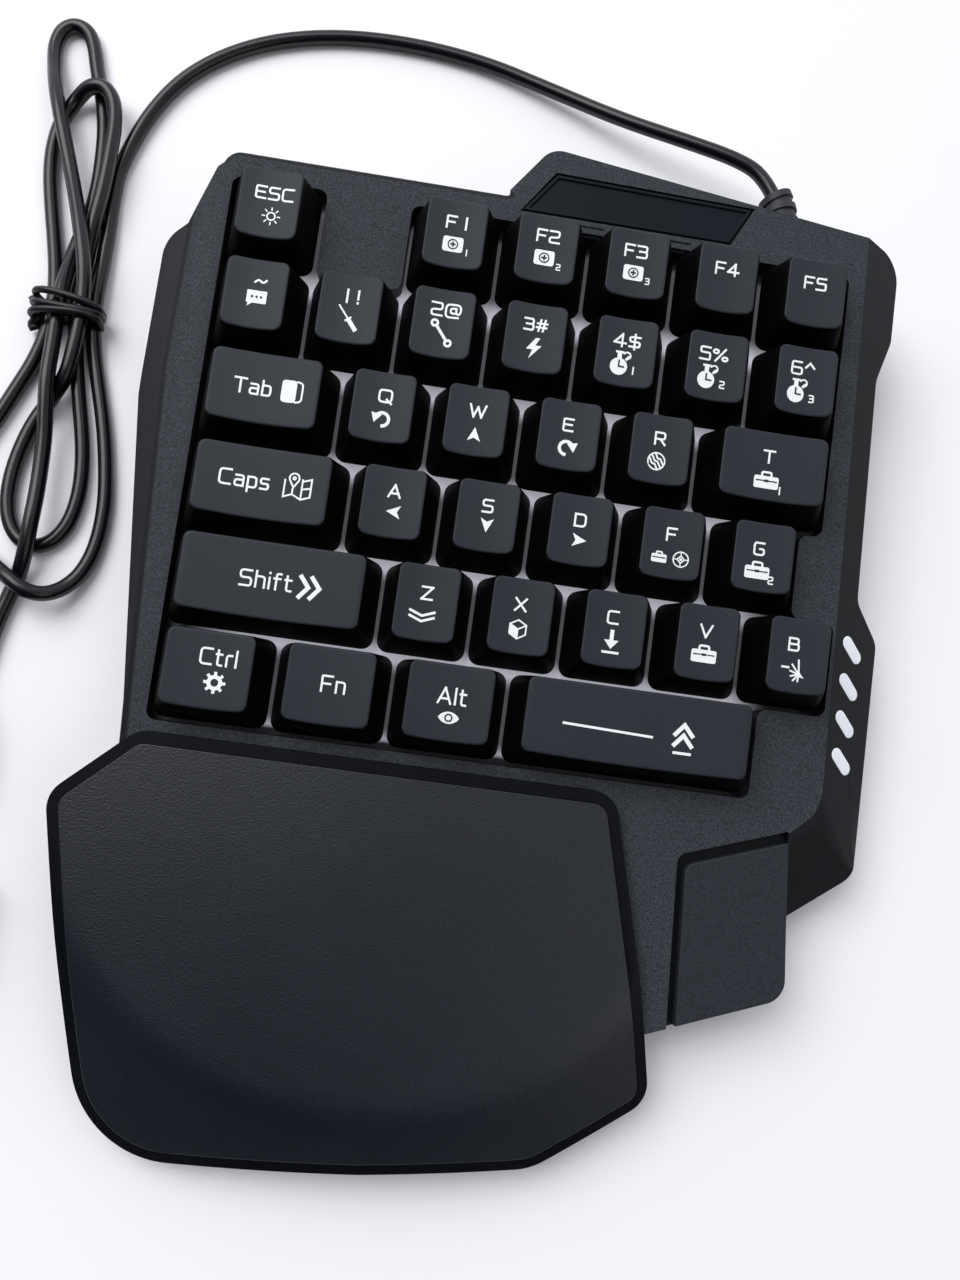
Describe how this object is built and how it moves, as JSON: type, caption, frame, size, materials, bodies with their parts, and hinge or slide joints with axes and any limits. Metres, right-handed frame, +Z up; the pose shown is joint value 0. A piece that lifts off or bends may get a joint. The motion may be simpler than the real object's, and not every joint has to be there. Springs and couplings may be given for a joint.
{
  "type": "one-handed gaming keyboard",
  "caption": "Left-hand keypad with backlit keys, a fixed palm rest, a thumb rest, fold-out feet and a tied cable with its plug.",
  "frame": {"origin": "centre of the box round the keypad and its palm rest, at the surface it stands on, without the cable", "axes": "+Z up, +Y towards the back row of keys, +X to the user's right"},
  "size_m": [0.24, 0.263, 0.0358],
  "materials": {
    "deck_plastic": "fine-grained charcoal moulding",
    "base_plastic": "plain black moulding",
    "badge_plastic": "smooth dark blue-grey plate",
    "thumb_rubber": "soft-touch coating",
    "white_plastic": "milky white moulding",
    "dome_rubber": "translucent silicone",
    "switch_film": "clear film with printed tracks",
    "circuit_board": "green solder mask",
    "light_chip": "resin over a white frame",
    "rest_plastic": "smooth black rim",
    "pad_rubber": "soft-touch dark grey coating",
    "light_diffuser": "milky white",
    "screw_steel": "zinc-plated steel",
    "foot_rubber": "matte black",
    "cable_rubber": "satin black jacket",
    "tie_plastic": "black plastic-coated wire",
    "plug_plastic": "black moulding",
    "plug_steel": "nickel-plated steel",
    "key_plastic": "matte charcoal top, glossy black sides"
  },
  "bodies": {
    "root": {"top_case": "deck_plastic", "bottom_case": "base_plastic", "nameplate": "badge_plastic", "thumb_rest": "thumb_rubber", "guide_plate": "white_plastic", "dome_mat": "dome_rubber", "switch_film": "switch_film", "backlight_board": "circuit_board", "backlight_chips": "light_chip", "palm_rest_base": "rest_plastic", "palm_rest_pad": "pad_rubber", "side_light_bars": "light_diffuser", "side_light_board": "circuit_board", "case_screws": "screw_steel", "rubber_feet": "foot_rubber", "controller_board": "circuit_board", "strain_relief": "cable_rubber", "cable_lead": "cable_rubber", "cable_hank": "cable_rubber", "cable_coil": "cable_rubber", "cable_tie": "tie_plastic", "usb_plug_body": "plug_plastic", "usb_plug_shell": "plug_steel"},
    "key_esc": {"key_esc": "key_plastic"},
    "key_f1": {"key_f1": "key_plastic"},
    "key_f2": {"key_f2": "key_plastic"},
    "key_f3": {"key_f3": "key_plastic"},
    "key_f4": {"key_f4": "key_plastic"},
    "key_f5": {"key_f5": "key_plastic"},
    "key_grave": {"key_grave": "key_plastic"},
    "key_1": {"key_1": "key_plastic"},
    "key_2": {"key_2": "key_plastic"},
    "key_3": {"key_3": "key_plastic"},
    "key_4": {"key_4": "key_plastic"},
    "key_5": {"key_5": "key_plastic"},
    "key_6": {"key_6": "key_plastic"},
    "key_tab": {"key_tab": "key_plastic"},
    "key_q": {"key_q": "key_plastic"},
    "key_w": {"key_w": "key_plastic"},
    "key_e": {"key_e": "key_plastic"},
    "key_r": {"key_r": "key_plastic"},
    "key_t": {"key_t": "key_plastic"},
    "key_caps": {"key_caps": "key_plastic"},
    "key_a": {"key_a": "key_plastic"},
    "key_s": {"key_s": "key_plastic"},
    "key_d": {"key_d": "key_plastic"},
    "key_f": {"key_f": "key_plastic"},
    "key_g": {"key_g": "key_plastic"},
    "key_shift": {"key_shift": "key_plastic"},
    "key_z": {"key_z": "key_plastic"},
    "key_x": {"key_x": "key_plastic"},
    "key_c": {"key_c": "key_plastic"},
    "key_v": {"key_v": "key_plastic"},
    "key_b": {"key_b": "key_plastic"},
    "key_ctrl": {"key_ctrl": "key_plastic"},
    "key_fn": {"key_fn": "key_plastic"},
    "key_alt": {"key_alt": "key_plastic"},
    "key_space": {"key_space": "key_plastic"},
    "left_flip_foot": {"left_flip_foot": "base_plastic"},
    "right_flip_foot": {"right_flip_foot": "base_plastic"}
  },
  "joints": [
    {"name": "key_esc_press", "type": "slide", "parent": "root", "child": "key_esc", "axis": [0, -0.0872, 0.9962], "range_m": [-0.0035, 0], "stiffness_N_per_m": 150, "springref_m": 0.003, "deforming": ["dome_mat"]},
    {"name": "key_f1_press", "type": "slide", "parent": "root", "child": "key_f1", "axis": [0, -0.0872, 0.9962], "range_m": [-0.0035, 0], "stiffness_N_per_m": 150, "springref_m": 0.003, "deforming": ["dome_mat"]},
    {"name": "key_f2_press", "type": "slide", "parent": "root", "child": "key_f2", "axis": [0, -0.0872, 0.9962], "range_m": [-0.0035, 0], "stiffness_N_per_m": 150, "springref_m": 0.003, "deforming": ["dome_mat"]},
    {"name": "key_f3_press", "type": "slide", "parent": "root", "child": "key_f3", "axis": [0, -0.0872, 0.9962], "range_m": [-0.0035, 0], "stiffness_N_per_m": 150, "springref_m": 0.003, "deforming": ["dome_mat"]},
    {"name": "key_f4_press", "type": "slide", "parent": "root", "child": "key_f4", "axis": [0, -0.0872, 0.9962], "range_m": [-0.0035, 0], "stiffness_N_per_m": 150, "springref_m": 0.003, "deforming": ["dome_mat"]},
    {"name": "key_f5_press", "type": "slide", "parent": "root", "child": "key_f5", "axis": [0, -0.0872, 0.9962], "range_m": [-0.0035, 0], "stiffness_N_per_m": 150, "springref_m": 0.003, "deforming": ["dome_mat"]},
    {"name": "key_grave_press", "type": "slide", "parent": "root", "child": "key_grave", "axis": [0, -0.0872, 0.9962], "range_m": [-0.0035, 0], "stiffness_N_per_m": 150, "springref_m": 0.003, "deforming": ["dome_mat"]},
    {"name": "key_1_press", "type": "slide", "parent": "root", "child": "key_1", "axis": [0, -0.0872, 0.9962], "range_m": [-0.0035, 0], "stiffness_N_per_m": 150, "springref_m": 0.003, "deforming": ["dome_mat"]},
    {"name": "key_2_press", "type": "slide", "parent": "root", "child": "key_2", "axis": [0, -0.0872, 0.9962], "range_m": [-0.0035, 0], "stiffness_N_per_m": 150, "springref_m": 0.003, "deforming": ["dome_mat"]},
    {"name": "key_3_press", "type": "slide", "parent": "root", "child": "key_3", "axis": [0, -0.0872, 0.9962], "range_m": [-0.0035, 0], "stiffness_N_per_m": 150, "springref_m": 0.003, "deforming": ["dome_mat"]},
    {"name": "key_4_press", "type": "slide", "parent": "root", "child": "key_4", "axis": [0, -0.0872, 0.9962], "range_m": [-0.0035, 0], "stiffness_N_per_m": 150, "springref_m": 0.003, "deforming": ["dome_mat"]},
    {"name": "key_5_press", "type": "slide", "parent": "root", "child": "key_5", "axis": [0, -0.0872, 0.9962], "range_m": [-0.0035, 0], "stiffness_N_per_m": 150, "springref_m": 0.003, "deforming": ["dome_mat"]},
    {"name": "key_6_press", "type": "slide", "parent": "root", "child": "key_6", "axis": [0, -0.0872, 0.9962], "range_m": [-0.0035, 0], "stiffness_N_per_m": 150, "springref_m": 0.003, "deforming": ["dome_mat"]},
    {"name": "key_tab_press", "type": "slide", "parent": "root", "child": "key_tab", "axis": [0, -0.0872, 0.9962], "range_m": [-0.0035, 0], "stiffness_N_per_m": 150, "springref_m": 0.003, "deforming": ["dome_mat"]},
    {"name": "key_q_press", "type": "slide", "parent": "root", "child": "key_q", "axis": [0, -0.0872, 0.9962], "range_m": [-0.0035, 0], "stiffness_N_per_m": 150, "springref_m": 0.003, "deforming": ["dome_mat"]},
    {"name": "key_w_press", "type": "slide", "parent": "root", "child": "key_w", "axis": [0, -0.0872, 0.9962], "range_m": [-0.0035, 0], "stiffness_N_per_m": 150, "springref_m": 0.003, "deforming": ["dome_mat"]},
    {"name": "key_e_press", "type": "slide", "parent": "root", "child": "key_e", "axis": [0, -0.0872, 0.9962], "range_m": [-0.0035, 0], "stiffness_N_per_m": 150, "springref_m": 0.003, "deforming": ["dome_mat"]},
    {"name": "key_r_press", "type": "slide", "parent": "root", "child": "key_r", "axis": [0, -0.0872, 0.9962], "range_m": [-0.0035, 0], "stiffness_N_per_m": 150, "springref_m": 0.003, "deforming": ["dome_mat"]},
    {"name": "key_t_press", "type": "slide", "parent": "root", "child": "key_t", "axis": [0, -0.0872, 0.9962], "range_m": [-0.0035, 0], "stiffness_N_per_m": 150, "springref_m": 0.003, "deforming": ["dome_mat"]},
    {"name": "key_caps_press", "type": "slide", "parent": "root", "child": "key_caps", "axis": [0, -0.0872, 0.9962], "range_m": [-0.0035, 0], "stiffness_N_per_m": 150, "springref_m": 0.003, "deforming": ["dome_mat"]},
    {"name": "key_a_press", "type": "slide", "parent": "root", "child": "key_a", "axis": [0, -0.0872, 0.9962], "range_m": [-0.0035, 0], "stiffness_N_per_m": 150, "springref_m": 0.003, "deforming": ["dome_mat"]},
    {"name": "key_s_press", "type": "slide", "parent": "root", "child": "key_s", "axis": [0, -0.0872, 0.9962], "range_m": [-0.0035, 0], "stiffness_N_per_m": 150, "springref_m": 0.003, "deforming": ["dome_mat"]},
    {"name": "key_d_press", "type": "slide", "parent": "root", "child": "key_d", "axis": [0, -0.0872, 0.9962], "range_m": [-0.0035, 0], "stiffness_N_per_m": 150, "springref_m": 0.003, "deforming": ["dome_mat"]},
    {"name": "key_f_press", "type": "slide", "parent": "root", "child": "key_f", "axis": [0, -0.0872, 0.9962], "range_m": [-0.0035, 0], "stiffness_N_per_m": 150, "springref_m": 0.003, "deforming": ["dome_mat"]},
    {"name": "key_g_press", "type": "slide", "parent": "root", "child": "key_g", "axis": [0, -0.0872, 0.9962], "range_m": [-0.0035, 0], "stiffness_N_per_m": 150, "springref_m": 0.003, "deforming": ["dome_mat"]},
    {"name": "key_shift_press", "type": "slide", "parent": "root", "child": "key_shift", "axis": [0, -0.0872, 0.9962], "range_m": [-0.0035, 0], "stiffness_N_per_m": 150, "springref_m": 0.003, "deforming": ["dome_mat"]},
    {"name": "key_z_press", "type": "slide", "parent": "root", "child": "key_z", "axis": [0, -0.0872, 0.9962], "range_m": [-0.0035, 0], "stiffness_N_per_m": 150, "springref_m": 0.003, "deforming": ["dome_mat"]},
    {"name": "key_x_press", "type": "slide", "parent": "root", "child": "key_x", "axis": [0, -0.0872, 0.9962], "range_m": [-0.0035, 0], "stiffness_N_per_m": 150, "springref_m": 0.003, "deforming": ["dome_mat"]},
    {"name": "key_c_press", "type": "slide", "parent": "root", "child": "key_c", "axis": [0, -0.0872, 0.9962], "range_m": [-0.0035, 0], "stiffness_N_per_m": 150, "springref_m": 0.003, "deforming": ["dome_mat"]},
    {"name": "key_v_press", "type": "slide", "parent": "root", "child": "key_v", "axis": [0, -0.0872, 0.9962], "range_m": [-0.0035, 0], "stiffness_N_per_m": 150, "springref_m": 0.003, "deforming": ["dome_mat"]},
    {"name": "key_b_press", "type": "slide", "parent": "root", "child": "key_b", "axis": [0, -0.0872, 0.9962], "range_m": [-0.0035, 0], "stiffness_N_per_m": 150, "springref_m": 0.003, "deforming": ["dome_mat"]},
    {"name": "key_ctrl_press", "type": "slide", "parent": "root", "child": "key_ctrl", "axis": [0, -0.0872, 0.9962], "range_m": [-0.0035, 0], "stiffness_N_per_m": 150, "springref_m": 0.003, "deforming": ["dome_mat"]},
    {"name": "key_fn_press", "type": "slide", "parent": "root", "child": "key_fn", "axis": [0, -0.0872, 0.9962], "range_m": [-0.0035, 0], "stiffness_N_per_m": 150, "springref_m": 0.003, "deforming": ["dome_mat"]},
    {"name": "key_alt_press", "type": "slide", "parent": "root", "child": "key_alt", "axis": [0, -0.0872, 0.9962], "range_m": [-0.0035, 0], "stiffness_N_per_m": 150, "springref_m": 0.003, "deforming": ["dome_mat"]},
    {"name": "key_space_press", "type": "slide", "parent": "root", "child": "key_space", "axis": [0, -0.0872, 0.9962], "range_m": [-0.0035, 0], "stiffness_N_per_m": 150, "springref_m": 0.003, "deforming": ["dome_mat"]},
    {"name": "left_flip_foot_fold", "type": "hinge", "parent": "root", "child": "left_flip_foot", "pos_m": [-0.05567, 0.07697, 0.0035], "axis": [1, 0, 0], "range_deg": [0, 90]},
    {"name": "right_flip_foot_fold", "type": "hinge", "parent": "root", "child": "right_flip_foot", "pos_m": [0.05567, 0.07697, 0.0035], "axis": [1, 0, 0], "range_deg": [0, 90]}
  ]
}
